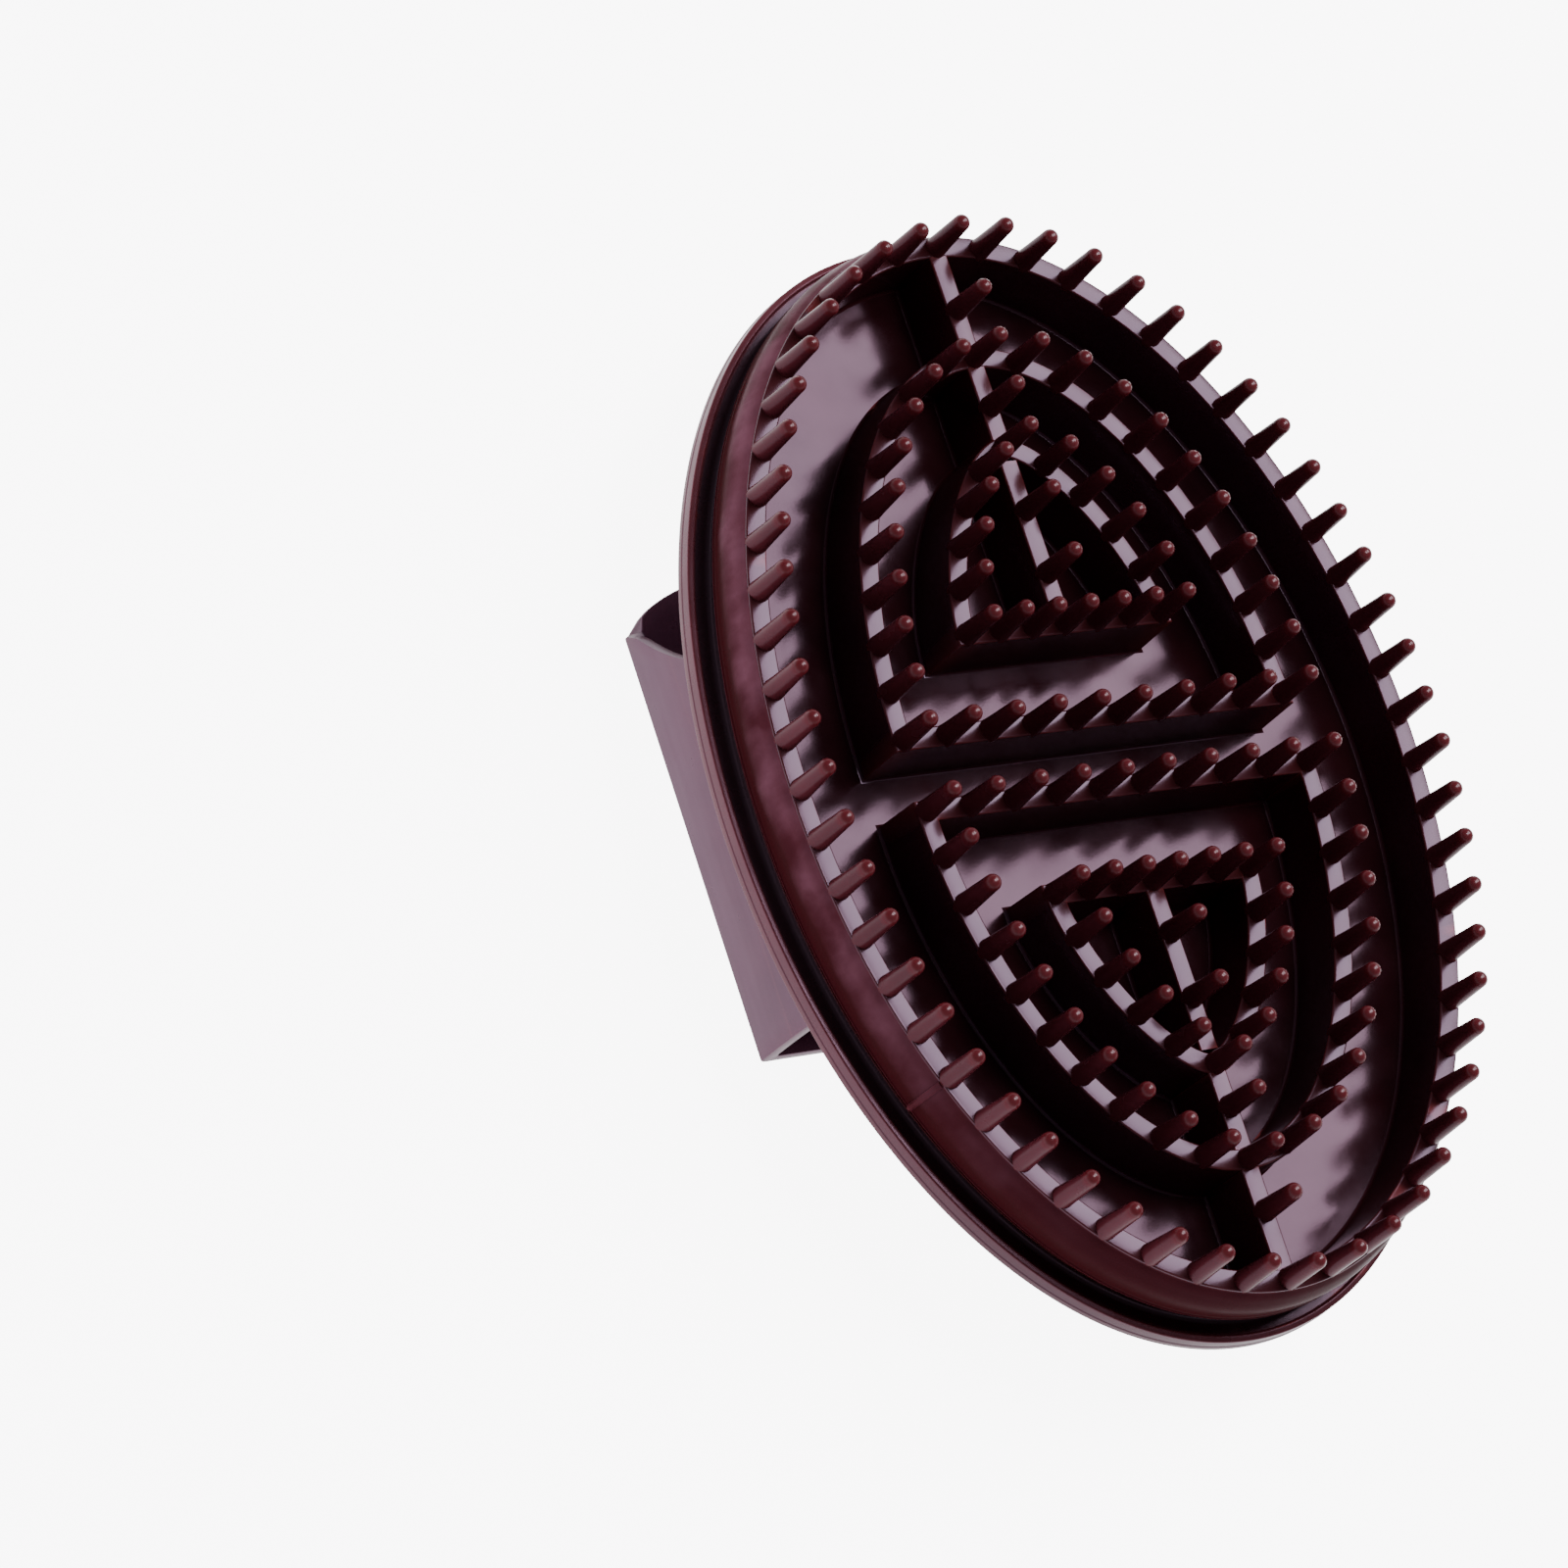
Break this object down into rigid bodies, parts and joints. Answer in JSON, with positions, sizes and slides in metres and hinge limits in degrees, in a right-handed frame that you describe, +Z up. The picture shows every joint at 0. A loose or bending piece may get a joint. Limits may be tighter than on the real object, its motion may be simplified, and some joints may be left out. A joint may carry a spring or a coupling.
{
  "type": "rubber curry brush",
  "caption": "Oval rubber grooming pad with tapered pins on a rim and nested D-shaped ribs, and a flexible hand strap on its back.",
  "frame": {"origin": "on the floor, under the middle of the oval pad, with the brush lying on its hand strap", "axes": "+Z up through the pins, +Y along the oval towards the toe end, +X across it to the right"},
  "size_m": [0.1116, 0.165, 0.0412],
  "materials": {
    "rib_rubber": "glossy maroon rubber",
    "web_rubber": "glossy dark maroon rubber",
    "strap_rubber": "satin maroon rubber"
  },
  "bodies": {
    "pad": {"floor_web": "web_rubber", "rim_flange": "web_rubber", "ring_right": "rib_rubber", "ring_toe_right": "rib_rubber", "ring_toe": "rib_rubber", "ring_toe_left": "rib_rubber", "ring_left": "rib_rubber", "ring_heel_left": "rib_rubber", "ring_heel": "rib_rubber", "ring_heel_right": "rib_rubber", "toe_outer_left": "rib_rubber", "toe_outer_crown": "rib_rubber", "toe_outer_right": "rib_rubber", "toe_outer_chord": "rib_rubber", "toe_inner_left": "rib_rubber", "toe_inner_crown": "rib_rubber", "toe_inner_right": "rib_rubber", "toe_inner_chord": "rib_rubber", "toe_spine_rim": "rib_rubber", "toe_spine_mid": "rib_rubber", "toe_spine_inner": "rib_rubber", "heel_outer_left": "rib_rubber", "heel_outer_crown": "rib_rubber", "heel_outer_right": "rib_rubber", "heel_outer_chord": "rib_rubber", "heel_inner_left": "rib_rubber", "heel_inner_crown": "rib_rubber", "heel_inner_right": "rib_rubber", "heel_inner_chord": "rib_rubber", "heel_spine_rim": "rib_rubber", "heel_spine_mid": "rib_rubber", "heel_spine_inner": "rib_rubber", "strap_left_root": "strap_rubber", "strap_right_root": "strap_rubber"},
    "left_flank": {"strap_left_flank": "strap_rubber"},
    "back_panel": {"strap_back_panel": "strap_rubber"},
    "right_flank": {"strap_right_flank": "strap_rubber"}
  },
  "joints": [
    {"name": "strap_sway", "type": "hinge", "parent": "pad", "child": "left_flank", "pos_m": [-0.0478, 0, 0.0155], "axis": [0, 1, 0], "range_deg": [-30, 30], "stiffness_Nm_per_rad": 0.4},
    {"name": "left_fold", "type": "hinge", "parent": "left_flank", "child": "back_panel", "pos_m": [-0.0478, 0, 0.001], "axis": [0, 1, 0], "range_deg": [-30, 30]},
    {"name": "right_fold", "type": "hinge", "parent": "back_panel", "child": "right_flank", "pos_m": [0.0478, 0, 0.001], "axis": [0, 1, 0], "range_deg": [-30, 30]}
  ],
  "couplings": [
    {"joint": "left_fold", "follows": "strap_sway", "ratio": -1},
    {"joint": "right_fold", "follows": "strap_sway", "ratio": 1}
  ]
}
